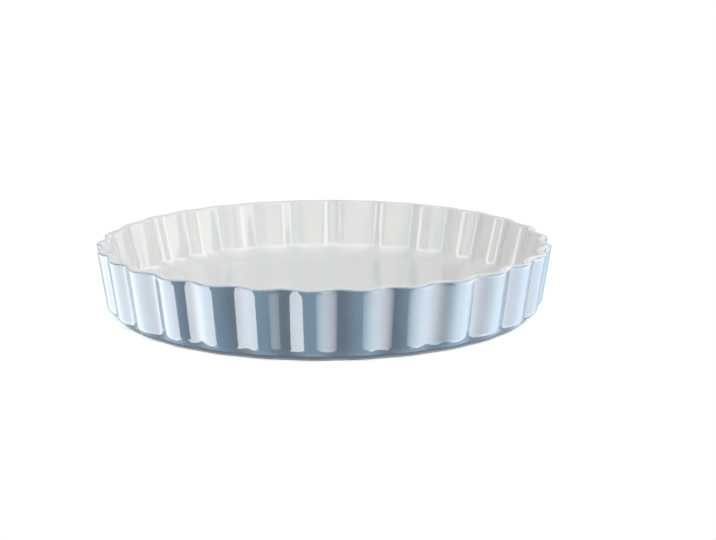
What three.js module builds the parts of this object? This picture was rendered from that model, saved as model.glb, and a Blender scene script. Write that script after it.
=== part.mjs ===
// A round fluted stoneware baking dish, glazed pale blue outside and white inside.
// Sizes are in millimetres and +Z is up. The origin is the centre of the circle that the
// foot ring stands on, and one flute crest points along -Y.
import * as THREE from 'three';

// Overall size, measured over the flute crests
const rimRadius = 140;
const dishHeight = 42.3;

// Flutes all round the wall. Outside, the valleys are a little narrower than the crests. Inside, the
// channels behind the crests are narrow and the ridges between them are broad.
const fluteCount = 30;
const fluteDepth = 3.6;
const valleySharpness = 1.2;
const channelSharpness = 2;
const stepsPerFlute = 6;

// Wall: leans out towards the rim, which is rounded over and dips on the crests. The inside leans
// out more, so the wall is thickest at its foot.
const wallThickness = 4.4;
const wallDraft = THREE.MathUtils.degToRad(8.3);
const insideDraft = THREE.MathUtils.degToRad(13.5);
const rimRise = 1.5;
const rimDip = 0.55;

// Heel: the outside curve from the wall down to the foot ring
const heelHeight = 8;
const heelReach = 5.9;
const heelSteps = 3;

// Floor, and the wide cove that joins it to the inside wall. The flutes run out high up in the cove.
const floorThickness = 4;
const coveHeight = 8;
const coveWidth = 30;
const coveFluteRun = 17.5;
const coveSteps = 5;

// Foot ring, wiped bare of glaze at the bottom, with a shallow recess inside it
const footHeight = 2.4;
const footWidth = 5;
const bareHeight = 0.5;
const recessDepth = 1.2;

// Glaze coats, and how far below the top of the rim the blue gives way to white
const glazeThickness = 0.5;
const colourLineDrop = 0.3;

// Share of a corner's legs that a curve handle takes, so that the curve is nearly an arc
const arcHandle = 0.55;

// Heights and crest radii that follow from the sizes above
const draftSlope = Math.tan(wallDraft);
const insideSlope = Math.tan(insideDraft);
const rimBase = dishHeight - rimRise;
const heelRadius = rimRadius - (rimBase - heelHeight) * draftSlope;
const heelCorner = heelRadius - (heelHeight - footHeight) * draftSlope;
const footRadius = heelCorner - heelReach;
const recessRadius = footRadius - footWidth;
const floorLevel = recessDepth + floorThickness;
const coveTop = floorLevel + coveHeight;
const coveRadius = rimRadius - wallThickness - (rimBase - coveTop) * insideSlope;
const coveCorner = coveRadius - coveHeight * insideSlope;
const coveFluteEnd = coveRadius - coveFluteRun;
const floorRadius = coveRadius - coveWidth;

const clay = new THREE.MeshStandardMaterial({ color: '#d8d2c7', roughness: 0.85, metalness: 0 });
const blueGlaze = new THREE.MeshStandardMaterial({ color: '#7894a7', roughness: 0.1, metalness: 0 });
const whiteGlaze = new THREE.MeshStandardMaterial({ color: '#f0f0ef', roughness: 0.1, metalness: 0 });

// How far into a valley the wall is at an angle from -Y: 0 on a crest and 1 at the bottom.
// The section changes from the outside's to the inside's as inner goes from 0 to 1.
function valleyShare(angle, inner) {
  const wave = (1 - Math.cos(fluteCount * angle)) / 2;
  const outside = wave ** valleySharpness;
  const inside = 1 - (1 - wave) ** channelSharpness;
  return THREE.MathUtils.lerp(outside, inside, inner);
}

// A level ring with no flutes, facing up unless it says otherwise.
function plainRing(radius, height, outward = new THREE.Vector2(0, 1)) {
  return { radius, height, flute: 0, dip: 0, inner: 0, outward };
}

// A ring on the rounded rim: half an ellipse, turned from its outer side over to its inner side.
function rimRing(turn) {
  const halfWall = wallThickness / 2;
  const across = Math.cos(turn);
  const up = Math.sin(turn);
  return {
    radius: rimRadius - halfWall + halfWall * across,
    height: rimBase + rimRise * up,
    flute: fluteDepth,
    dip: rimDip * up,
    inner: turn / Math.PI,
    outward: new THREE.Vector2(across / halfWall, up / rimRise).normalize(),
  };
}

// Rings round a corner, each with the direction that faces out of the material. Corner points are
// crest radii and heights. Flutes have their full depth at the fluted radius and none from the plain
// radius inwards.
function cornerRings(start, corner, end, steps, plainRadius, flutedRadius, inner) {
  const leave = start.clone().lerp(corner, arcHandle);
  const arrive = end.clone().lerp(corner, arcHandle);
  const curve = new THREE.CubicBezierCurve(start, leave, arrive, end);
  return Array.from({ length: steps + 1 }, (_, step) => {
    const { x: radius, y: height } = curve.getPoint(step / steps);
    const along = curve.getTangent(step / steps);
    const share = Math.max(radius - plainRadius, 0) / (flutedRadius - plainRadius);
    const outward = new THREE.Vector2(along.y, -along.x);
    return { radius, height, flute: fluteDepth * share, dip: 0, inner, outward };
  });
}

// The same rings moved into the material by the thickness of a glaze coat.
function underGlaze(rings) {
  return rings.map((ring) => ({
    ...ring,
    radius: ring.radius - ring.outward.x * glazeThickness,
    height: ring.height - ring.outward.y * glazeThickness,
  }));
}

// Splits every patch between two rings along its shorter diagonal, so that the back of a coat and
// the clay behind it have the same facets.
function splitPatches(solid, ringCount) {
  const position = solid.getAttribute('position');
  const corners = Array.from({ length: position.count }, (_, index) => (
    new THREE.Vector3().fromBufferAttribute(position, index)
  ));
  const faces = [];
  for (let a = 0; a + ringCount < position.count; a += 1) {
    const b = a + ringCount;
    const c = b + 1;
    const d = a + 1;
    const isPatch = d % ringCount !== 0;
    if (isPatch && corners[a].distanceTo(corners[c]) < corners[b].distanceTo(corners[d])) {
      faces.push(a, b, c, a, c, d);
    } else if (isPatch) {
      faces.push(a, b, d, b, c, d);
    }
  }
  solid.setIndex(faces);
}

// A closed solid turned from rings, each drawn in at the flute valleys and lowered on the crests.
function flutedSolid(rings) {
  const profile = rings.map(({ radius, height }) => new THREE.Vector2(radius, height));
  const solid = new THREE.LatheGeometry(profile, fluteCount * stepsPerFlute);
  const position = solid.getAttribute('position');
  for (let index = 0; index < position.count; index += 1) {
    const { radius, height, flute, dip, inner } = rings[index % rings.length];
    if (radius > 0) {
      const x = position.getX(index);
      const z = position.getZ(index);
      const share = valleyShare(Math.atan2(x, z), inner);
      const drawnIn = 1 - (flute * share) / radius;
      position.setXYZ(index, x * drawnIn, height - dip * (1 - share), z * drawnIn);
    }
  }
  splitPatches(solid, rings.length);
  return solid.rotateX(Math.PI / 2);
}

function piece(name, rings, material) {
  const mesh = new THREE.Mesh(flutedSolid(rings), material);
  mesh.name = name;
  return mesh;
}

// Where blue meets white on the outer shoulder of the rim
const colourTurn = Math.asin(1 - colourLineDrop / rimRise);
const colourRing = rimRing(colourTurn);

// Heel, from the crease above the foot ring up to the wall. The crease faces out and down.
const heel = cornerRings(
  new THREE.Vector2(footRadius, footHeight),
  new THREE.Vector2(heelCorner, footHeight),
  new THREE.Vector2(heelRadius, heelHeight),
  heelSteps,
  footRadius,
  heelRadius,
  0,
);
heel[0].outward.set(1, -1);

// Glazed outside surface, from just above the table up to the colour line
const glazeStart = plainRing(footRadius, bareHeight, new THREE.Vector2(1, 0));
const outside = [glazeStart, ...heel, rimRing(0), rimRing(colourTurn / 2), colourRing];

// Glazed inside surface, from the colour line over the rim and down to the middle of the floor
const inside = [
  colourRing,
  rimRing(Math.PI / 2),
  rimRing((Math.PI * 3) / 4),
  rimRing(Math.PI),
  ...cornerRings(
    new THREE.Vector2(coveRadius, coveTop),
    new THREE.Vector2(coveCorner, floorLevel),
    new THREE.Vector2(floorRadius, floorLevel),
    coveSteps,
    coveFluteEnd,
    coveRadius,
    1,
  ),
  plainRing(0, floorLevel),
];

// Glazed underside, within the foot ring
const recessCeiling = recessDepth + glazeThickness;
const underside = [
  plainRing(0, recessDepth),
  plainRing(recessRadius, recessDepth),
  plainRing(recessRadius, recessCeiling),
  plainRing(0, recessCeiling),
];

// Clay: the recess and the bare foot ring, then the backs of the coats
const clayRings = [
  plainRing(0, recessCeiling),
  plainRing(recessRadius, recessCeiling),
  plainRing(recessRadius, recessDepth),
  plainRing(recessRadius, 0),
  plainRing(footRadius, 0),
  glazeStart,
  ...underGlaze(outside),
  ...underGlaze(inside).slice(1),
];

const bakingDish = new THREE.Group();
bakingDish.add(
  piece('stoneware_body', clayRings, clay),
  piece('outer_blue_glaze', [...outside, ...underGlaze(outside).reverse(), outside[0]], blueGlaze),
  piece('inner_white_glaze', [...underGlaze(inside).reverse(), ...inside], whiteGlaze),
  piece('underside_blue_glaze', underside, blueGlaze),
);

export default bakingDish;
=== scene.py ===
"""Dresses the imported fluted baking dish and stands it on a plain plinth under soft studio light.

All sizes are in metres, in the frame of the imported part: +Z up, the origin at the centre of the
foot ring's circle, one flute crest on -Y. Angles round the dish are measured from -Y towards +X.
"""

import logging
import math
from collections.abc import Sequence
from dataclasses import dataclass, replace
from enum import Enum

import bmesh
import bpy
from mathutils import Matrix, Vector


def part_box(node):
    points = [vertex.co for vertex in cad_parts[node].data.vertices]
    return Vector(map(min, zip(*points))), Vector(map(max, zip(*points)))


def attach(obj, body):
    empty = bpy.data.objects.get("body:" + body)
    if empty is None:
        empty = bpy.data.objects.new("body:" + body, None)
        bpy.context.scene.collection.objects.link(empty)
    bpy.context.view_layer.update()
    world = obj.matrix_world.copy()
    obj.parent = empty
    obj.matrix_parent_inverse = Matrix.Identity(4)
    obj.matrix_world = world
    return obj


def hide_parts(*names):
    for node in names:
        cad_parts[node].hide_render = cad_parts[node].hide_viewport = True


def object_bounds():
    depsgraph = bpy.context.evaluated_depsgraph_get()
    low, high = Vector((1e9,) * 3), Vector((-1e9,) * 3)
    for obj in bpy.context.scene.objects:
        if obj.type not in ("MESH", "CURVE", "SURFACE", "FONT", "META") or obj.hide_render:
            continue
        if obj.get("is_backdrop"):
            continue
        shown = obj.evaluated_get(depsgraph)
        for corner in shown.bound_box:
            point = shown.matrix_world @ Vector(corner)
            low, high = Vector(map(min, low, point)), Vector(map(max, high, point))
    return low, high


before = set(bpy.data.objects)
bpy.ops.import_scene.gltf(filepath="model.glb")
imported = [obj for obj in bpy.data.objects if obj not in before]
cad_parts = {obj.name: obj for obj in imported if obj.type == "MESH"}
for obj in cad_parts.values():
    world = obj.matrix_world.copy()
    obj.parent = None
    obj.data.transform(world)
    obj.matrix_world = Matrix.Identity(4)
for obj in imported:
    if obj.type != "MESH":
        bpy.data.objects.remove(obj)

log = logging.getLogger("baking_dish")

MM = 0.001

# Ring values that the flute press reads from a profile
PRESS_MARKS = ("flute", "dip", "inner")

# The flute press's inputs and their kinds of socket
PRESS_INPUTS = {
    "Profile": "NodeSocketGeometry",
    "Flute Count": "NodeSocketInt",
    "Steps Round": "NodeSocketInt",
    "Turning Radius": "NodeSocketFloat",
    "Flute Depth": "NodeSocketFloat",
    "Valley Sharpness": "NodeSocketFloat",
    "Channel Sharpness": "NodeSocketFloat",
    "Unevenness": "NodeSocketFloat",
    "Seed": "NodeSocketFloat",
    "Finish": "NodeSocketMaterial",
}

Colour = tuple[float, float, float]
Span = tuple[float, float]
Socket = bpy.types.NodeSocket
Value = float | int | str | bool | Sequence[float] | Socket | bpy.types.Material

WHITE: Colour = (1.0, 1.0, 1.0)


def srgb(red: int, green: int, blue: int) -> Colour:
    """Turns a screen colour of 0 to 255 into linear light.

    Args:
        red: Red as shown on a screen.
        green: Green as shown on a screen.
        blue: Blue as shown on a screen.

    Returns:
        The colour as Blender's sockets take it.
    """
    shares = (channel / 255 for channel in (red, green, blue))
    return tuple(s / 12.92 if s <= 0.04045 else ((s + 0.055) / 1.055) ** 2.4 for s in shares)


class FluteSide(Enum):
    """The side of a flute on which a glaze gathers."""

    VALLEYS = "valleys"
    CRESTS = "crests"


class MeshMark(Enum):
    """Names of the values that a piece's mesh carries for its material."""

    VALLEY = "valley"
    RUN = "run"
    # Painted shade in the crease and up the heel, and painted bounce light at the foot
    PAINTED_SHADE_AND_BOUNCE = "painted_shade_and_bounce"


@dataclass(frozen=True)
class Pattern:
    """A noise pattern.

    Attributes:
        scale: Patches to the metre.
        detail: How many finer layers it has.
    """

    scale: float
    detail: float


@dataclass
class NodeBench:
    """Adds nodes to one tree and wires them, for materials and geometry alike.

    Attributes:
        tree: The node tree that is being built.
    """

    tree: bpy.types.NodeTree

    def add(
        self, kind: str, inputs: dict[str | int, Value] | None = None, **settings: Value
    ) -> bpy.types.Node:
        """Adds one node.

        Args:
            kind: Blender's name for the type of node.
            inputs: What goes into its sockets, by name or place: a socket to wire or a fixed value.
            settings: The node's own settings.

        Returns:
            The new node.
        """
        node = self.tree.nodes.new(kind)
        for name, value in settings.items():
            setattr(node, name, value)
        for key, value in (inputs or {}).items():
            self.feed(node.inputs[key], value)
        return node

    def feed(self, socket: Socket, value: Value) -> None:
        """Wires a socket, or sets its fixed value.

        Args:
            socket: The input socket.
            value: An output socket, or the value to set.
        """
        if isinstance(value, Socket):
            self.tree.links.new(value, socket)
        elif socket.type == "RGBA":
            socket.default_value = (*value, 1.0)
        else:
            socket.default_value = value

    def maths(self, operation: str, *values: Value, clamp: bool = False) -> Socket:
        """Adds a Math node.

        Args:
            operation: The operation's name.
            values: Its one to three inputs.
            clamp: Whether the result is held between 0 and 1.

        Returns:
            The result's socket.
        """
        inputs = dict(enumerate(values))
        return self.add("ShaderNodeMath", inputs, operation=operation, use_clamp=clamp).outputs[0]

    def spread(
        self, value: Value, low: float, high: float, to_low: float, to_high: float
    ) -> Socket:
        """Maps a range smoothly onto another one.

        Args:
            value: The value to map.
            low: Start of its range.
            high: End of its range.
            to_low: Result at the start.
            to_high: Result at the end.

        Returns:
            The result's socket.
        """
        names = ("Value", "From Min", "From Max", "To Min", "To Max")
        inputs = dict(zip(names, (value, low, high, to_low, to_high)))
        node = self.add("ShaderNodeMapRange", inputs, interpolation_type="SMOOTHSTEP")
        return node.outputs["Result"]

    def blend(self, share: Value, first: Value, second: Value) -> Socket:
        """Mixes two colours.

        Args:
            share: How much of the second colour shows.
            first: The first colour.
            second: The second colour.

        Returns:
            The mixed colour's socket.
        """
        node = self.add("ShaderNodeMix", data_type="RGBA")
        for name, value in (("Factor_Float", share), ("A_Color", first), ("B_Color", second)):
            self.feed(next(s for s in node.inputs if s.identifier == name), value)
        return next(s for s in node.outputs if s.identifier == "Result_Color")

    def noise(self, place: Value, pattern: Pattern) -> Socket:
        """Adds a noise pattern.

        Args:
            place: The coordinates it is read at.
            pattern: Its scale and detail.

        Returns:
            The socket of the pattern's value, about 0.5 on average.
        """
        inputs = {"Vector": place, "Scale": pattern.scale, "Detail": pattern.detail}
        return self.add("ShaderNodeTexNoise", inputs).outputs[0]

    def bump(self, height: Socket, depth: float, normal: Socket | None = None) -> Socket:
        """Adds a relief to a surface.

        Args:
            height: The pattern of the relief.
            depth: Its depth.
            normal: The normal that it is added to, where another relief comes first.

        Returns:
            The normal's socket.
        """
        inputs = {"Height": height, "Strength": 1.0, "Distance": depth}
        if normal is not None:
            inputs["Normal"] = normal
        return self.add("ShaderNodeBump", inputs).outputs[0]

    def mark(self, mark: MeshMark) -> Socket:
        """Reads a value that the mesh carries, in a material."""
        return self.add("ShaderNodeAttribute", attribute_name=mark.value).outputs["Fac"]


def new_material(
    name: str,
) -> tuple[bpy.types.Material, NodeBench, bpy.types.bpy_prop_collection]:
    """Starts a material.

    Args:
        name: The material's name.

    Returns:
        The material, a bench for its nodes, and the inputs of its shader.
    """
    made = bpy.data.materials.new(name)
    made.use_nodes = True
    return made, NodeBench(made.node_tree), made.node_tree.nodes["Principled BSDF"].inputs


@dataclass(frozen=True)
class GlazeFinish:
    """A glossy fired glaze.

    It is deeper in colour where it runs together, on one side of the flutes, and darker still with
    painted shade in the crease above the foot and up the heel. It is paler and thinner beside the
    colour line, and at the foot, where it is rubbed down and painted bounce light makes it paler
    towards the bottom.

    Attributes:
        name: The material's name.
        colour: The colour of an even coat.
        pooled_and_shaded: The colour where the coat is thicker, also used as painted shade in the
            crease and up the heel.
        thin_and_bounce_lit: The colour where the coat is thinner, also used as painted bounce light
            at the foot.
        gathers_in: The side of the flutes on which it runs together.
        thin_band: How far from the colour line the coat thins out.
        band_fade: Shares of that band between which the coat becomes even.
        band_stray: Share of it by which its edge strays.
        refraction: The glaze's index of refraction, which sets how strongly it reflects.
        gloss: Lowest and highest roughness.
        gloss_span: Values of their pattern at which these are reached.
        cloud_strength: How far the clouds deepen or lighten the coat.
        grain_strength: How much of the pooled colour shows in a grain.
        grain_span: Values of their pattern between which a grain starts.
        wave_depth: Depth of the slow waves in the surface.
        peel_depth: Depth of the fine dimples in the surface.
        dull_patches: Where the coat is less glossy.
        clouds: Where it is deeper or lighter.
        ragged_edge: How the edge of the thin band strays.
        grains: Where the grains are.
        waves: Where the slow waves are.
        dimples: Where the fine dimples are.
    """

    name: str
    colour: Colour
    pooled_and_shaded: Colour
    thin_and_bounce_lit: Colour
    gathers_in: FluteSide
    thin_band: float
    band_fade: Span = (0.3, 1.4)
    band_stray: float = 0.5
    refraction: float = 2.0
    gloss: Span = (0.05, 0.11)
    gloss_span: Span = (0.3, 0.7)
    cloud_strength: float = 0.9
    grain_strength: float = 0.22
    grain_span: Span = (0.7, 0.78)
    wave_depth: float = 0.02 * MM
    peel_depth: float = 0.003 * MM
    dull_patches: Pattern = Pattern(70.0, 2.0)
    clouds: Pattern = Pattern(42.0, 4.0)
    ragged_edge: Pattern = Pattern(260.0, 3.0)
    grains: Pattern = Pattern(900.0, 1.0)
    waves: Pattern = Pattern(55.0, 1.0)
    dimples: Pattern = Pattern(520.0, 2.0)

    def material(self) -> bpy.types.Material:
        """Makes the glaze's material.

        Returns:
            A material that reads Object coordinates and the mesh's own marks.
        """
        made, bench, shader = new_material(self.name)
        place = bench.add("ShaderNodeTexCoord").outputs["Object"]
        bench.feed(shader["Base Color"], self._colour(bench, place))
        dull = bench.spread(bench.noise(place, self.dull_patches), *self.gloss_span, *self.gloss)
        bench.feed(shader["Roughness"], dull)
        bench.feed(shader["IOR"], self.refraction)
        waved = bench.bump(bench.noise(place, self.waves), self.wave_depth)
        dimpled = bench.bump(bench.noise(place, self.dimples), self.peel_depth, waved)
        bench.feed(shader["Normal"], dimpled)
        return made

    def _colour(self, bench: NodeBench, place: Socket) -> Socket:
        """Wires the coat's colour.

        Args:
            bench: The material's nodes.
            place: Object coordinates.

        Returns:
            The colour's socket.
        """
        gathered = bench.mark(MeshMark.VALLEY)
        if self.gathers_in is FluteSide.CRESTS:
            gathered = bench.maths("SUBTRACT", 1.0, gathered)
        # The mesh's painted shade (crease and heel) and painted bounce light (foot)
        shade_and_bounce = bench.mark(MeshMark.PAINTED_SHADE_AND_BOUNCE)
        pool_and_shade = bench.maths("ADD", gathered, shade_and_bounce)
        clouds = bench.maths("SUBTRACT", bench.noise(place, self.clouds), 0.5)
        depth = bench.maths("MULTIPLY_ADD", clouds, self.cloud_strength, pool_and_shade, clamp=True)
        # Deeper where the glaze pools on one side of the flutes, and painted shade in the crease
        # and up the heel
        coat = bench.blend(depth, self.colour, self.pooled_and_shaded)
        stray = self.band_stray * self.thin_band
        ragged = bench.maths("MULTIPLY", bench.noise(place, self.ragged_edge), stray)
        way = bench.maths("ADD", bench.mark(MeshMark.RUN), ragged)
        start, end = (share * self.thin_band for share in self.band_fade)
        edge = bench.spread(way, start, end, 1.0, 0.0)
        # Paler at the foot, where the coat is rubbed down, with painted bounce light towards its
        # bottom
        thinned_and_bounce_lit = bench.maths("MULTIPLY", shade_and_bounce, -1.0, clamp=True)
        coat = bench.blend(bench.maths("MAXIMUM", edge, thinned_and_bounce_lit), coat, self.thin_and_bounce_lit)
        specks = bench.noise(place, self.grains)
        grains = bench.spread(specks, *self.grain_span, 0.0, self.grain_strength)
        return bench.blend(grains, coat, self.pooled_and_shaded)


@dataclass(frozen=True)
class ClayFinish:
    """Bare fired clay, pale, matt and a little gritty.

    Attributes:
        name: The material's name.
        colour: The clay's main colour.
        burnt: The warmer colour of its patches and grains.
        stain: The most of the warmer colour that a patch or a grain takes.
        patch_span: Values of their pattern between which a patch comes up.
        grain_span: Values of their pattern between which a grain comes up.
        roughness: Roughness of the plain clay and of its grains.
        grit_depth: Depth of the grit in the surface.
        patches: Where the patches are.
        grains: Where the grains are.
        grit: Where the grit is.
    """

    name: str
    colour: Colour
    burnt: Colour
    stain: float = 0.5
    patch_span: Span = (0.35, 0.75)
    grain_span: Span = (0.55, 0.75)
    roughness: Span = (0.9, 0.75)
    grit_depth: float = 0.05 * MM
    patches: Pattern = Pattern(30.0, 4.0)
    grains: Pattern = Pattern(1100.0, 2.0)
    grit: Pattern = Pattern(1500.0, 3.0)

    def material(self) -> bpy.types.Material:
        """Makes the clay's material.

        Returns:
            A material that reads Object coordinates.
        """
        made, bench, shader = new_material(self.name)
        place = bench.add("ShaderNodeTexCoord").outputs["Object"]
        patches = bench.spread(bench.noise(place, self.patches), *self.patch_span, 0.0, self.stain)
        grains = bench.spread(bench.noise(place, self.grains), *self.grain_span, 0.0, self.stain)
        colour = bench.blend(patches, self.colour, self.burnt)
        bench.feed(shader["Base Color"], bench.blend(grains, colour, self.burnt))
        bench.feed(shader["Roughness"], bench.spread(grains, 0.0, self.stain, *self.roughness))
        bench.feed(shader["Normal"], bench.bump(bench.noise(place, self.grit), self.grit_depth))
        return made


@dataclass(frozen=True)
class Ring:
    """One ring of the dish's surface as it would be turned, before the flutes are pressed in.

    Attributes:
        radius: Radius over the flute crests.
        height: Height above the table, at the flute valleys.
        flute: How far a valley is drawn in from the crests.
        dip: How much lower the ring is on the crests than at the valleys.
        inner: 0 for the outside's flute section, 1 for the inside's, and in between over the rim.
        out: How far the surface faces away from the axis.
        up: How far it faces up.
        painted_shade_and_bounce: Above 0 where painted shade darkens the coat at this ring, in the
            crease and up the heel; below 0 at the foot, where the coat is thinner and painted
            bounce light makes it paler.
    """

    radius: float
    height: float
    flute: float = 0.0
    dip: float = 0.0
    inner: float = 0.0
    out: float = 0.0
    up: float = 1.0
    # Painted shade above 0, painted bounce light below 0
    painted_shade_and_bounce: float = 0.0


@dataclass(frozen=True)
class DishForm:
    """The dish's sizes, and the rings that its surfaces run through.

    Attributes:
        rim_radius: Radius of the rim over the flute crests.
        dish_height: Height of the rim at the flute valleys.
        flute_count: Number of flutes.
        flute_depth: Depth of the flutes.
        valley_sharpness: How narrow the valleys are outside.
        channel_sharpness: How narrow the channels are inside.
        wall_thickness: Thickness of the wall with its glaze.
        wall_draft: How far the wall leans out on its outside, in radians.
        inside_draft: How far it leans out on its inside, in radians.
        rim_rise: Height of the rounded rim.
        rim_dip: How much lower the rim is on the crests.
        heel_height: Height at which the outside curves in towards the foot.
        heel_reach: How far that curve draws in.
        floor_thickness: Thickness of the floor with its glaze.
        cove_height: Height of the curve between the floor and the inside wall.
        cove_width: Width of that curve.
        cove_flute_run: Width over which the flutes run out in it.
        foot_height: Height of the foot ring's plain band.
        foot_width: Width of the foot ring.
        foot_round: Radius of the foot ring's worn edges.
        bare_height: Height up to which the glaze is cleaned off the foot ring.
        crease_round: Radius of the crease between the foot band and the heel.
        recess_depth: Depth of the underside within the foot ring.
        glaze_thickness: Thickness of a glaze coat.
        colour_line_drop: How far below the top of the rim blue gives way to white.
        arc_handle: Share of a corner's legs that a curve handle takes.
        foot_thinning_and_bounce: How far the coat at the foot is rubbed down and made paler, with
            painted bounce light from the plinth.
        crease_painted_shade: How far painted shade darkens the crease.
        heel_painted_shade: How far painted shade darkens the coat where the heel starts.
        heel_shade_fall: How much less that painted shade is at each ring further up the heel.
        crease_steps: Steps round the crease.
        heel_steps: Steps round the heel.
        wall_steps: Steps up the wall, on either side.
        shoulder_steps: Steps over the blue part of the rim.
        rim_steps: Steps over the white part of the rim.
        cove_steps: Steps round the cove.
        floor_steps: Steps over the floor.
        recess_steps: Steps over the underside.
        edge_steps: Steps round each edge of the foot ring.
        tread_steps: Steps over what the foot ring stands on.
    """

    rim_radius: float
    dish_height: float
    flute_count: int = 30
    flute_depth: float = 3.6 * MM
    valley_sharpness: float = 1.2
    channel_sharpness: float = 2.0
    wall_thickness: float = 4.4 * MM
    wall_draft: float = math.radians(8.3)
    inside_draft: float = math.radians(13.5)
    rim_rise: float = 1.5 * MM
    rim_dip: float = 0.55 * MM
    heel_height: float = 8.0 * MM
    heel_reach: float = 5.9 * MM
    floor_thickness: float = 4.0 * MM
    cove_height: float = 8.0 * MM
    cove_width: float = 30.0 * MM
    cove_flute_run: float = 17.5 * MM
    foot_height: float = 2.4 * MM
    foot_width: float = 5.0 * MM
    foot_round: float = 0.35 * MM
    bare_height: float = 0.5 * MM
    crease_round: float = 0.5 * MM
    recess_depth: float = 1.2 * MM
    glaze_thickness: float = 0.5 * MM
    colour_line_drop: float = 0.3 * MM
    arc_handle: float = 0.55
    # Paleness at the foot: a rubbed-down coat and painted bounce light
    foot_thinning_and_bounce: float = 0.9
    # Painted shade in the crease
    crease_painted_shade: float = 0.7
    # Painted shade on the lower heel, fading out up it
    heel_painted_shade: float = 1.2
    heel_shade_fall: float = 0.1
    crease_steps: int = 4
    heel_steps: int = 22
    wall_steps: int = 12
    shoulder_steps: int = 9
    rim_steps: int = 18
    cove_steps: int = 26
    floor_steps: int = 8
    recess_steps: int = 6
    edge_steps: int = 5
    tread_steps: int = 4

    @property
    def rim_base(self) -> float:
        """Height at which the wall goes over into the rounded rim."""
        return self.dish_height - self.rim_rise

    @property
    def heel_radius(self) -> float:
        """Crest radius at the top of the heel."""
        return self.rim_radius - (self.rim_base - self.heel_height) * math.tan(self.wall_draft)

    @property
    def heel_corner(self) -> float:
        """Crest radius where the wall, carried on down, would meet the top of the foot band."""
        return self.heel_radius - (self.heel_height - self.foot_height) * math.tan(self.wall_draft)

    @property
    def foot_radius(self) -> float:
        """Outer radius of the foot ring."""
        return self.heel_corner - self.heel_reach

    @property
    def recess_radius(self) -> float:
        """Inner radius of the foot ring."""
        return self.foot_radius - self.foot_width

    @property
    def recess_ceiling(self) -> float:
        """Height of the clay above the underside's coat."""
        return self.recess_depth + self.glaze_thickness

    @property
    def floor_level(self) -> float:
        """Height of the floor's upper side."""
        return self.recess_depth + self.floor_thickness

    @property
    def cove_top(self) -> float:
        """Height at which the inside wall starts to curve into the floor."""
        return self.floor_level + self.cove_height

    @property
    def cove_radius(self) -> float:
        """Crest radius at the top of the cove."""
        inside = self.rim_radius - self.wall_thickness
        return inside - (self.rim_base - self.cove_top) * math.tan(self.inside_draft)

    @property
    def colour_turn(self) -> float:
        """Turn over the rim, from its outer side, at which blue gives way to white."""
        return math.asin(1 - self.colour_line_drop / self.rim_rise)

    def rim_ring(self, turn: float) -> Ring:
        """Gives a ring on the rounded rim.

        Args:
            turn: 0 on the rim's outer side, pi on its inner side.

        Returns:
            The ring.
        """
        half_wall = self.wall_thickness / 2
        across, up = math.cos(turn), math.sin(turn)
        facing = Vector((across / half_wall, up / self.rim_rise)).normalized()
        return Ring(
            radius=self.rim_radius - half_wall + half_wall * across,
            height=self.rim_base + self.rim_rise * up,
            flute=self.flute_depth,
            dip=self.rim_dip * up,
            inner=turn / math.pi,
            out=facing.x,
            up=facing.y,
        )

    def rim_rings(self, start: float, end: float, steps: int) -> list[Ring]:
        """Gives rings over a part of the rim, both ends included."""
        return [self.rim_ring(start + (end - start) * step / steps) for step in range(steps + 1)]

    def corner_rings(
        self,
        points: Sequence[Span],
        steps: int,
        inner: float = 0.0,
        plain_radius: float = 0.0,
        fluted_radius: float = 0.0,
    ) -> list[Ring]:
        """Gives rings round a corner.

        Args:
            points: Crest radius and height at the corner's start, its sharp point and its end.
            steps: Number of steps round it.
            inner: 1 for the inside's flute section, 0 for the outside's.
            plain_radius: Radius inside which there are no flutes.
            fluted_radius: Radius at which they have their full depth, or 0 where there are none.

        Returns:
            The rings, both ends included. The material is on the left of their way.
        """
        start, corner, end = (Vector(point) for point in points)
        leave = start.lerp(corner, self.arc_handle)
        arrive = end.lerp(corner, self.arc_handle)
        rings = []
        for step in range(steps + 1):
            t = step / steps
            s = 1 - t
            place = s**3 * start + 3 * s * s * t * leave + 3 * s * t * t * arrive + t**3 * end
            along = s * s * (leave - start) + 2 * s * t * (arrive - leave) + t * t * (end - arrive)
            along.normalize()
            flute = 0.0
            if fluted_radius:
                share = max(place.x - plain_radius, 0.0) / (fluted_radius - plain_radius)
                flute = self.flute_depth * share
            rings.append(Ring(place.x, place.y, flute, 0.0, inner, along.y, -along.x))
        return rings

    def straight_rings(self, first: Ring, last: Ring, steps: int) -> list[Ring]:
        """Gives the rings between two others, both ends left out.

        Args:
            first: The ring before them.
            last: The ring after them.
            steps: Number of steps from one end to the other.

        Returns:
            The rings in between, facing square to the line.
        """
        line = Vector((last.radius - first.radius, last.height - first.height)).normalized()
        rings = []
        for step in range(1, steps):
            t = step / steps
            mixed = {
                name: getattr(first, name) * (1 - t) + getattr(last, name) * t
                for name in ("radius", "height", *PRESS_MARKS)
            }
            rings.append(Ring(**mixed, out=line.y, up=-line.x))
        return rings

    def outside(self) -> list[Ring]:
        """Gives the blue outside.

        Returns:
            Its rings, from just above the table up to the colour line.
        """
        foot, crease_end = self.foot_radius, self.foot_radius + self.crease_round
        band_top = (foot, self.foot_height - self.crease_round)
        heel_start = (crease_end, self.foot_height)
        heel_corner = (self.heel_corner, self.foot_height)
        heel_end = (self.heel_radius, self.heel_height)
        # The foot band: its coat is rubbed down, and painted bounce light makes it paler towards
        # the bottom
        band = Ring(foot, self.bare_height, out=1.0, up=0.0, painted_shade_and_bounce=-self.foot_thinning_and_bounce)
        # The crease above the band, darkened with painted shade
        crease = [
            replace(ring, painted_shade_and_bounce=self.crease_painted_shade)
            for ring in self.corner_rings(
                (band_top, (foot, self.foot_height), heel_start), self.crease_steps
            )
        ]
        curve = (heel_start, heel_corner, heel_end)
        heel = self.corner_rings(curve, self.heel_steps, 0.0, crease_end, self.heel_radius)
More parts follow.
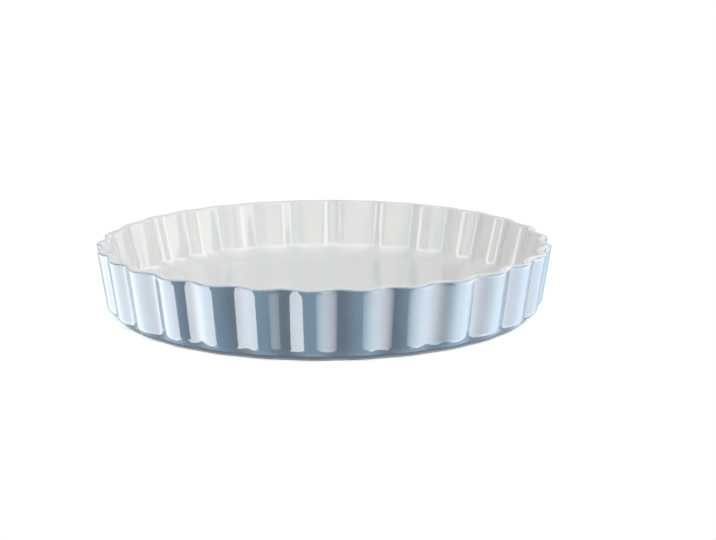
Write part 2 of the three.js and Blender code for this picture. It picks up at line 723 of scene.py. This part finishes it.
        # Painted shade darkens the lower heel, less at each ring up it
        heel = [
            replace(ring, painted_shade_and_bounce=max(self.heel_painted_shade - self.heel_shade_fall * step, 0.0))
            for step, ring in enumerate(heel)
        ]
        shoulder = self.rim_rings(0.0, self.colour_turn, self.shoulder_steps)
        wall = self.straight_rings(heel[-1], shoulder[0], self.wall_steps)
        return [band, *crease, *heel[1:], *wall, *shoulder]

    def inside(self) -> list[Ring]:
        """Gives the white inside.

        Returns:
            Its rings, from the colour line over the rim to the middle of the floor.
        """
        curve = (
            (self.cove_radius, self.cove_top),
            (self.cove_radius - self.cove_height * math.tan(self.inside_draft), self.floor_level),
            (self.cove_radius - self.cove_width, self.floor_level),
        )
        flute_end = self.cove_radius - self.cove_flute_run
        rim = self.rim_rings(self.colour_turn, math.pi, self.rim_steps)
        cove = self.corner_rings(curve, self.cove_steps, 1.0, flute_end, self.cove_radius)
        wall = self.straight_rings(rim[-1], cove[0], self.wall_steps)
        middle = Ring(0.0, self.floor_level, inner=1.0)
        floor = self.straight_rings(cove[-1], middle, self.floor_steps)
        return [*rim, *wall, *cove, *floor, middle]

    def under_glaze(self, rings: Sequence[Ring]) -> list[Ring]:
        """Moves rings into the material by the thickness of a glaze coat.

        Args:
            rings: Rings of the glazed surface.

        Returns:
            Rings of the clay behind it.
        """
        coat = self.glaze_thickness
        return [
            replace(
                ring,
                radius=max(ring.radius - ring.out * coat, 0.0),
                height=ring.height - ring.up * coat,
            )
            for ring in rings
        ]

    def underside(self) -> list[Ring]:
        """Gives the coat on the underside, within the foot ring.

        Returns:
            Its rings, from the middle out along its face and back behind it.
        """
        lower_edge = Ring(self.recess_radius, self.recess_depth)
        upper_edge = Ring(self.recess_radius, self.recess_ceiling)
        lower_middle = Ring(0.0, self.recess_depth)
        upper_middle = Ring(0.0, self.recess_ceiling)
        lower = self.straight_rings(lower_middle, lower_edge, self.recess_steps)
        upper = self.straight_rings(upper_edge, upper_middle, self.recess_steps)
        return [lower_middle, *lower, lower_edge, upper_edge, *upper, upper_middle]

    def clay(self) -> list[Ring]:
        """Gives the clay body.

        Returns:
            The rings of the recess, the bare foot ring and the backs of the coats.
        """
        inner, outer, worn = self.recess_radius, self.foot_radius, self.foot_round
        middle = Ring(0.0, self.recess_ceiling)
        edge = Ring(inner, self.recess_ceiling)
        ceiling = self.straight_rings(middle, edge, self.recess_steps)
        recess = [middle, *ceiling, edge, Ring(inner, self.recess_depth)]
        inner_curve = ((inner, worn), (inner, 0.0), (inner + worn, 0.0))
        outer_curve = ((outer - worn, 0.0), (outer, 0.0), (outer, worn))
        inner_edge = self.corner_rings(inner_curve, self.edge_steps)
        outer_edge = self.corner_rings(outer_curve, self.edge_steps)
        tread = self.straight_rings(inner_edge[-1], outer_edge[0], self.tread_steps)
        foot = [*inner_edge, *tread, *outer_edge, Ring(outer, self.bare_height)]
        backs = [*self.under_glaze(self.outside()), *self.under_glaze(self.inside())[1:]]
        return [*recess, *foot, *backs]


@dataclass
class FlutePress:
    """Turns profiles round the axis and presses the flutes into them, with Geometry Nodes.

    Attributes:
        form: The dish's sizes.
        steps_per_flute: How finely each flute is drawn.
        unevenness: How far the hand-finished wall strays from the true form.
        stray: Where it strays.
        seed: Picks the unevenness.
        join_distance: How near points are that are joined where the surface closes.
        crisp_angle: Bend past which an edge is shown crisp, in radians.
        least_radius: Radius below which a point is drawn in no further.
    """

    form: DishForm
    steps_per_flute: int = 24
    unevenness: float = 0.15 * MM
    stray: Pattern = Pattern(16.0, 1.0)
    seed: float = 7.0
    join_distance: float = 0.002 * MM
    crisp_angle: float = math.radians(50)
    least_radius: float = 1.0 * MM

    def __post_init__(self) -> None:
        """Builds the tree once for all pieces."""
        self.tree = bpy.data.node_groups.new("flute_press", "GeometryNodeTree")
        self.sockets: dict[str, str] = {}
        self._build()

    def _build(self) -> None:
        """Wires the tree: turn the profile, press the flutes, smooth it, give it its finish."""
        sockets = self.tree.interface
        for name, kind in PRESS_INPUTS.items():
            made = sockets.new_socket(name, in_out="INPUT", socket_type=kind)
            self.sockets[name] = made.identifier
        sockets.new_socket("Piece", in_out="OUTPUT", socket_type="NodeSocketGeometry")
        bench = NodeBench(self.tree)
        given = bench.add("NodeGroupInput").outputs
        profile = bench.add("GeometryNodeMeshToCurve", {"Mesh": given["Profile"]})
        inputs = {"Resolution": given["Steps Round"], "Radius": given["Turning Radius"]}
        circle = bench.add("GeometryNodeCurvePrimitiveCircle", inputs)
        inputs = {"Curve": circle.outputs["Curve"], "Profile Curve": profile.outputs["Curve"]}
        turned = bench.add("GeometryNodeCurveToMesh", inputs)
        share, pressed = self._pressed(bench, given)
        marked = bench.add(
            "GeometryNodeStoreNamedAttribute",
            {"Geometry": turned.outputs["Mesh"], "Name": MeshMark.VALLEY.value, "Value": share},
            data_type="FLOAT",
            domain="POINT",
        )
        inputs = {"Geometry": marked.outputs[0], "Position": pressed}
        fluted = bench.add("GeometryNodeSetPosition", inputs)
        smoothed = self._smoothed(bench, fluted.outputs[0])
        whole = bench.add("GeometryNodeRealizeInstances", {"Geometry": smoothed})
        inputs = {"Geometry": whole.outputs[0], "Material": given["Finish"]}
        dressed = bench.add("GeometryNodeSetMaterial", inputs)
        bench.add("NodeGroupOutput", {"Piece": dressed.outputs[0]})

    def _smoothed(self, bench: NodeBench, mesh: Socket) -> Socket:
        """Wires the closing of the mesh and its smooth shading, with crisp edges where it bends.

        Args:
            bench: The tree's nodes.
            mesh: The pressed mesh.

        Returns:
            The closed and shaded mesh.
        """
        inputs = {"Geometry": mesh, "Distance": self.join_distance}
        closed = bench.add("GeometryNodeMergeByDistance", inputs)
        inputs = {"Geometry": closed.outputs[0], "Shade Smooth": True}
        smooth = bench.add("GeometryNodeSetShadeSmooth", inputs, domain="FACE")
        angle = bench.add("GeometryNodeInputMeshEdgeAngle").outputs["Unsigned Angle"]
        inputs = {"A": angle, "B": self.crisp_angle}
        bent = bench.add("FunctionNodeCompare", inputs, operation="GREATER_THAN")
        inputs = {
            "Geometry": smooth.outputs[0],
            "Selection": bent.outputs[0],
            "Shade Smooth": False,
        }
        return bench.add("GeometryNodeSetShadeSmooth", inputs, domain="EDGE").outputs[0]

    def _pressed(
        self, bench: NodeBench, given: bpy.types.bpy_prop_collection
    ) -> tuple[Socket, Socket]:
        """Wires the pressing of the flutes.

        Args:
            bench: The tree's nodes.
            given: The tree's inputs.

        Returns:
            The share of the full flute depth at each point, and the point's new place.
        """
        maths = bench.maths
        readers = [
            bench.add("GeometryNodeInputNamedAttribute", {"Name": name}, data_type="FLOAT")
            for name in PRESS_MARKS
        ]
        flute, dip, inner = (reader.outputs["Attribute"] for reader in readers)
        place = bench.add("GeometryNodeInputPosition").outputs[0]
        x, y, z = bench.add("ShaderNodeSeparateXYZ", {0: place}).outputs
        angle = maths("ARCTAN2", x, maths("MULTIPLY", y, -1.0))
        swing = maths("COSINE", maths("MULTIPLY", angle, given["Flute Count"]))
        wave = maths("MULTIPLY_ADD", swing, -0.5, 0.5, clamp=True)
        outside = maths("POWER", wave, given["Valley Sharpness"])
        rest = maths("POWER", maths("SUBTRACT", 1.0, wave), given["Channel Sharpness"])
        inside = maths("SUBTRACT", 1.0, rest)
        valley = maths("MULTIPLY_ADD", maths("SUBTRACT", inside, outside), inner, outside)
        share = maths("DIVIDE", maths("MULTIPLY", valley, flute), given["Flute Depth"])
        inputs = {
            "Vector": place,
            "W": given["Seed"],
            "Scale": self.stray.scale,
            "Detail": self.stray.detail,
        }
        stray = bench.add("ShaderNodeTexNoise", inputs, noise_dimensions="4D").outputs[0]
        uneven = maths("MULTIPLY", maths("SUBTRACT", stray, 0.5), given["Unevenness"])
        drawn = maths("MULTIPLY_ADD", share, given["Flute Depth"], maths("MULTIPLY", uneven, 2.0))
        square = maths("ADD", maths("MULTIPLY", x, x), maths("MULTIPLY", y, y))
        radius = maths("MAXIMUM", maths("SQRT", square), self.least_radius)
        keep = maths("SUBTRACT", 1.0, maths("DIVIDE", drawn, radius))
        crest = maths("SUBTRACT", 1.0, valley)
        low = maths("SUBTRACT", z, maths("MULTIPLY", dip, crest))
        inputs = {0: maths("MULTIPLY", x, keep), 1: maths("MULTIPLY", y, keep), 2: low}
        return share, bench.add("ShaderNodeCombineXYZ", inputs).outputs[0]

    def press(
        self,
        name: str,
        rings: Sequence[Ring],
        runs: Sequence[float],
        loop: bool,
        finish: bpy.types.Material,
    ) -> bpy.types.Object:
        """Makes one closed fluted piece.

        Args:
            name: The piece's name.
            rings: The rings its surface runs through, with the material on the left of their way.
            runs: Each ring's way along the surface from the colour line.
            loop: Whether the last ring joins the first; otherwise both lie on the axis.
            finish: The piece's material.

        Returns:
            The piece, as a plain mesh at the origin.
        """
        form = self.form
        profile = bpy.data.meshes.new(f"{name}_profile")
        points = [(ring.radius - form.rim_radius, -ring.height, 0.0) for ring in rings]
        edges = [(i, i + 1) for i in range(len(rings) - 1)]
        if loop:
            edges.append((len(rings) - 1, 0))
        profile.from_pydata(points, edges, [])
        keys = (*PRESS_MARKS, MeshMark.PAINTED_SHADE_AND_BOUNCE.value)
        marks = {key: [getattr(ring, key) for ring in rings] for key in keys}
        marks[MeshMark.RUN.value] = list(runs)
        for key, values in marks.items():
            profile.attributes.new(key, "FLOAT", "POINT").data.foreach_set("value", values)
        piece = bpy.data.objects.new(name, profile)
        bpy.context.scene.collection.objects.link(piece)
        press = piece.modifiers.new("flute_press", "NODES")
        press.node_group = self.tree
        for key, value in {
            "Flute Count": form.flute_count,
            "Steps Round": form.flute_count * self.steps_per_flute,
            "Turning Radius": form.rim_radius,
            "Flute Depth": form.flute_depth,
            "Valley Sharpness": form.valley_sharpness,
            "Channel Sharpness": form.channel_sharpness,
            "Unevenness": self.unevenness,
            "Seed": self.seed,
            "Finish": finish,
        }.items():
            press[self.sockets[key]] = value
        graph = bpy.context.evaluated_depsgraph_get()
        mesh = bpy.data.meshes.new_from_object(
            piece.evaluated_get(graph), preserve_all_data_layers=True, depsgraph=graph
        )
        piece.modifiers.clear()
        piece.data = mesh
        mesh.name = name
        bpy.data.meshes.remove(profile)
        self._face_out(mesh)
        return piece

    @staticmethod
    def _face_out(mesh: bpy.types.Mesh) -> None:
        """Turns a closed mesh's faces outwards.

        Args:
            mesh: The mesh to put right.
        """
        worked = bmesh.new()
        worked.from_mesh(mesh)
        volume = worked.calc_volume(signed=True)
        open_edges = sum(not edge.is_manifold for edge in worked.edges)
        if volume < 0:
            bmesh.ops.reverse_faces(worked, faces=worked.faces)
            worked.to_mesh(mesh)
        worked.free()
        faces = len(mesh.polygons)
        cubic_cm = abs(volume) * 1e6
        log.info("%s: %.1f cm3, %d open edges, %d faces", mesh.name, cubic_cm, open_edges, faces)


def runs_along(rings: Sequence[Ring], start: int) -> list[float]:
    """Measures the way along a profile.

    Args:
        rings: The rings in order.
        start: Place of the ring that the way is measured from.

    Returns:
        Each ring's distance along the profile from that ring.
    """
    way = [0.0]
    for before, after in zip(rings, rings[1:]):
        way.append(way[-1] + math.hypot(after.radius - before.radius, after.height - before.height))
    return [abs(w - way[start]) for w in way]


@dataclass
class FlutedDish:
    """The dish: a clay body, a blue coat outside and below, and a white coat inside.

    Attributes:
        form: The dish's sizes.
        blue: The outside's glaze.
        white: The inside's glaze.
        clay: The bare clay of the foot ring.
        body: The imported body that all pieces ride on.
    """

    form: DishForm
    blue: GlazeFinish
    white: GlazeFinish
    clay: ClayFinish
    body: str = "root"

    def build(self) -> list[bpy.types.Object]:
        """Builds and dresses all pieces.

        Returns:
            The finished pieces.
        """
        form = self.form
        press = FlutePress(form)
        blue, white, clay = self.blue.material(), self.white.material(), self.clay.material()

        # The pressed and fired clay
        rings = form.clay()
        clay_body = press.press("clay_body", rings, runs_along(rings, 0), False, clay)
        self._settle(clay_body, "stoneware_body")

        # The blue coat, from the foot ring to the rim's outer shoulder
        front = form.outside()
        rings = [*front, *reversed(form.under_glaze(front))]
        runs = runs_along(rings, len(front) - 1)
        outer_coat = press.press("outer_coat", rings, runs, True, blue)
        self._settle(outer_coat, "outer_blue_glaze")

        # The white coat over the rim, the inside wall and the floor
        front = form.inside()
        rings = [*reversed(form.under_glaze(front)), *front]
        runs = runs_along(rings, len(front))
        inner_coat = press.press("inner_coat", rings, runs, False, white)
        self._settle(inner_coat, "inner_white_glaze")

        # The blue coat in the recess inside the foot ring, far from the colour line
        rings = form.underside()
        runs = [form.foot_radius] * len(rings)
        underside_coat = press.press("underside_coat", rings, runs, False, blue)
        self._settle(underside_coat, "underside_blue_glaze")
        return [clay_body, outer_coat, inner_coat, underside_coat]

    def _settle(self, piece: bpy.types.Object, node: str) -> None:
        """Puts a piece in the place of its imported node.

        Args:
            piece: The finished piece.
            node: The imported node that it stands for.
        """
        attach(piece, self.body)
        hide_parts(node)


def direction(azimuth: float, elevation: float) -> Vector:
    """Gives a unit vector away from the dish.

    Args:
        azimuth: Degrees from -Y towards +X.
        elevation: Degrees above the horizon.

    Returns:
        The vector.
    """
    turn, rise = math.radians(azimuth), math.radians(elevation)
    level = math.cos(rise)
    return Vector((math.sin(turn) * level, -math.cos(turn) * level, math.sin(rise)))


@dataclass(frozen=True)
class Panel:
    """A soft light panel that faces the dish.

    Attributes:
        name: The lamp's name.
        azimuths: Directions of its two sides from the dish, in degrees from -Y towards +X.
        elevations: Directions of its lower and upper edge, in degrees above the horizon.
        brightness: How bright its face is; a white sheet in plain light is 1.
        side_fades: Shares of its width over which it fades out, at its first and its second side.
        distance: How far its middle is from the dish.
    """

    name: str
    azimuths: Span
    elevations: Span
    brightness: float
    side_fades: Span = (0.0, 0.0)
    distance: float = 1.1

    def light(self, target: Vector) -> bpy.types.Object:
        """Hangs the panel.

        Args:
            target: The point that it faces.

        Returns:
            The lamp.
        """
        lamp = bpy.data.lights.new(self.name, "AREA")
        lamp.shape = "RECTANGLE"
        lamp.size, lamp.size_y = (
            2 * self.distance * math.tan(math.radians(high - low) / 2)
            for low, high in (self.azimuths, self.elevations)
        )
        lamp.energy = self.brightness * math.pi * lamp.size * lamp.size_y
        self._fade(lamp)
        made = bpy.data.objects.new(self.name, lamp)
        bpy.context.scene.collection.objects.link(made)
        away = direction(sum(self.azimuths) / 2, sum(self.elevations) / 2)
        made.location = target + away * self.distance
        made.rotation_euler = (-away).to_track_quat("-Z", "Y").to_euler()
        made.visible_camera = False
        return made

    def _fade(self, lamp: bpy.types.AreaLight) -> None:
        """Fades the panel out towards its sides.

        Args:
            lamp: The panel's lamp.
        """
        lamp.use_nodes = True
        bench = NodeBench(lamp.node_tree)
        face = bench.add("ShaderNodeNewGeometry").outputs["Parametric"]
        across = bench.add("ShaderNodeSeparateXYZ", {0: face}).outputs[0]
        first, second = self.side_fades
        strength = 1.0
        if first:
            strength = bench.spread(across, 0.0, first, 0.0, 1.0)
        if second:
            fall = bench.spread(across, 1.0 - second, 1.0, 1.0, 0.0)
            strength = bench.maths("MULTIPLY", fall, strength)
        bench.feed(lamp.node_tree.nodes["Emission"].inputs["Strength"], strength)


@dataclass(frozen=True)
class PhotoCamera:
    """A camera with the photograph's view of the dish.

    Attributes:
        image_width: Width of the image in pixels.
        image_height: Height of the image in pixels.
        focal_pixels: Focal length in pixels.
        distance: Distance from the middle of the rim.
        azimuth: Direction from the dish, in degrees from -Y towards +X.
        elevation: Height above the horizon, in degrees.
        roll: Turn about the line of sight, in degrees.
        aim_x: Pixel column of the middle of the rim.
        aim_y: Pixel row of the middle of the rim.
        sensor: Width of the sensor in millimetres.
    """

    image_width: int = 716
    image_height: int = 540
    focal_pixels: float = 1521.0
    distance: float = 0.944
    azimuth: float = 2.8
    elevation: float = 11.46
    roll: float = -0.275
    aim_x: float = 323.7
    aim_y: float = 238.6
    sensor: float = 36.0

    def place(self, rim_middle: Vector) -> bpy.types.Object:
        """Sets up the camera.

        Args:
            rim_middle: The middle of the rim.

        Returns:
            The camera, which is made the scene's own.
        """
        made = bpy.data.cameras.new("photo_camera")
        made.sensor_width = self.sensor
        made.lens = self.focal_pixels / self.image_width * self.sensor
        made.shift_x = (self.image_width / 2 - self.aim_x) / self.image_width
        made.shift_y = (self.aim_y - self.image_height / 2) / self.image_width
        camera = bpy.data.objects.new("photo_camera", made)
        bpy.context.scene.collection.objects.link(camera)
        away = direction(self.azimuth, self.elevation)
        camera.location = rim_middle + away * self.distance
        roll = Matrix.Rotation(math.radians(self.roll), 3, "Z")
        turn = (-away).to_track_quat("-Z", "Y").to_matrix() @ roll
        camera.rotation_euler = turn.to_euler()
        bpy.context.scene.camera = camera
        return camera


@dataclass
class Studio:
    """A small round white plinth before a white background, with soft panels round it.

    Attributes:
        form: The dish's sizes.
        panels: The light panels.
        camera: The camera.
        plinth_radius: Radius of the plinth's top.
        plinth_sides: Number of sides that its round is drawn with.
        fill: How strongly the white background lights what is in it.
        floor_white: The plinth's colour.
        floor_roughness: The plinth's roughness.
        floor_lift: What the plinth adds to its own brightness, to be as white as the background.
    """

    form: DishForm
    panels: Sequence[Panel]
    camera: PhotoCamera
    plinth_radius: float = 0.136
    plinth_sides: int = 128
    fill: float = 0.05
    floor_white: float = 0.8
    floor_roughness: float = 0.9
    floor_lift: float = 0.62

    def build(self) -> None:
        """Builds the plinth, the background, the lamps and the camera."""
        rim_middle = Vector((0.0, 0.0, self.form.dish_height - self.form.rim_dip))
        self._plinth()
        self._background()
        for panel in self.panels:
            panel.light(rim_middle / 2)
        self.camera.place(rim_middle)
        bpy.context.scene.view_settings.view_transform = "Standard"

    @staticmethod
    def _seen(bench: NodeBench) -> Socket:
        """Wires a switch that is 1 for what the camera sees, also in mirrors and through glass.

        Args:
            bench: The nodes of the world or the material.

        Returns:
            The switch's socket.
        """
        path = bench.add("ShaderNodeLightPath").outputs
        seen = bench.maths("MAXIMUM", path["Is Camera Ray"], path["Is Glossy Ray"])
        return bench.maths("MAXIMUM", seen, path["Is Transmission Ray"])

    def _background(self) -> None:
        """Makes the white background."""
        world = bpy.data.worlds.new("white_background")
        world.use_nodes = True
        bench = NodeBench(world.node_tree)
        background = world.node_tree.nodes["Background"].inputs
        bench.feed(background["Color"], WHITE)
        strength = bench.maths("MULTIPLY_ADD", self._seen(bench), 1.0 - self.fill, self.fill)
        bench.feed(background["Strength"], strength)
        bpy.context.scene.world = world

    def _plinth(self) -> None:
        """Makes the plinth's top that the dish stands on."""
        mesh = bpy.data.meshes.new("plinth")
        worked = bmesh.new()
        bmesh.ops.create_circle(
            worked, cap_ends=True, segments=self.plinth_sides, radius=self.plinth_radius
        )
        worked.to_mesh(mesh)
        worked.free()
        plinth = bpy.data.objects.new("plinth", mesh)
        bpy.context.scene.collection.objects.link(plinth)
        mesh.materials.append(self._plinth_white())
        plinth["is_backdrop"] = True

    def _plinth_white(self) -> bpy.types.Material:
        """Makes the plinth's white, which keeps the dish's shadow.

        Returns:
            The material.
        """
        made, bench, shader = new_material("plinth_white")
        bench.feed(shader["Base Color"], (self.floor_white, self.floor_white, self.floor_white))
        bench.feed(shader["Roughness"], self.floor_roughness)
        bench.feed(shader["Emission Color"], WHITE)
        lift = bench.maths("MULTIPLY", self._seen(bench), self.floor_lift)
        bench.feed(shader["Emission Strength"], lift)
        return made


def main() -> None:
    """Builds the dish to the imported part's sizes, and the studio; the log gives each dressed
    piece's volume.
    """
    logging.basicConfig(level=logging.INFO, format="%(name)s: %(message)s")
    packed_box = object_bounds()
    low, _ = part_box("outer_blue_glaze")
    form = DishForm(rim_radius=-low.y, dish_height=packed_box[1].z)
    dish = FlutedDish(
        form=form,
        blue=GlazeFinish(
            name="blue_glaze",
            colour=srgb(84, 121, 146),
            pooled_and_shaded=srgb(44, 77, 101),
            thin_and_bounce_lit=srgb(198, 212, 222),
            gathers_in=FluteSide.VALLEYS,
            thin_band=1.5 * MM,
        ),
        white=GlazeFinish(
            name="white_glaze",
            colour=srgb(240, 240, 239),
            pooled_and_shaded=srgb(234, 235, 235),
            thin_and_bounce_lit=srgb(231, 232, 233),
            gathers_in=FluteSide.CRESTS,
            thin_band=0.8 * MM,
        ),
        clay=ClayFinish(name="bare_clay", colour=srgb(216, 210, 199), burnt=srgb(190, 176, 158)),
    )
    for piece in dish.build():
        log.info("%s is in place", piece.name)
    panels = (
        Panel("left_low_panel", (-132.0, -46.0), (-50.0, -14.0), 3.8, side_fades=(0.35, 0.0)),
        Panel("right_low_panel", (15.0, 140.0), (-50.0, -14.0), 3.3, side_fades=(0.5, 0.5)),
        Panel("left_mid_panel", (-136.0, -47.0), (-14.0, 2.0), 4.0, side_fades=(0.3, 0.0)),
        Panel("right_mid_panel", (24.0, 140.0), (-14.0, 2.0), 3.8, side_fades=(0.3, 0.4)),
        Panel("left_table_panel", (-140.0, -76.0), (-70.0, -50.0), 1.8),
        Panel("right_table_panel", (76.0, 140.0), (-70.0, -50.0), 1.6),
        Panel("left_strip", (-84.0, -66.0), (2.0, 30.0), 1.7),
        Panel("right_strip", (58.0, 74.0), (2.0, 30.0), 1.8),
        Panel("right_side_panel", (76.0, 150.0), (6.0, 40.0), 1.0),
        Panel("front_panel", (-40.0, 40.0), (14.0, 34.0), 0.5),
        Panel("left_high_panel", (-75.0, -15.0), (36.0, 64.0), 1.7),
        Panel("right_high_panel", (20.0, 80.0), (36.0, 64.0), 1.8),
        Panel("top_panel", (-30.0, 30.0), (70.0, 110.0), 0.5),
    )
    Studio(form=form, panels=panels, camera=PhotoCamera()).build()


if __name__ == "__main__":
    main()
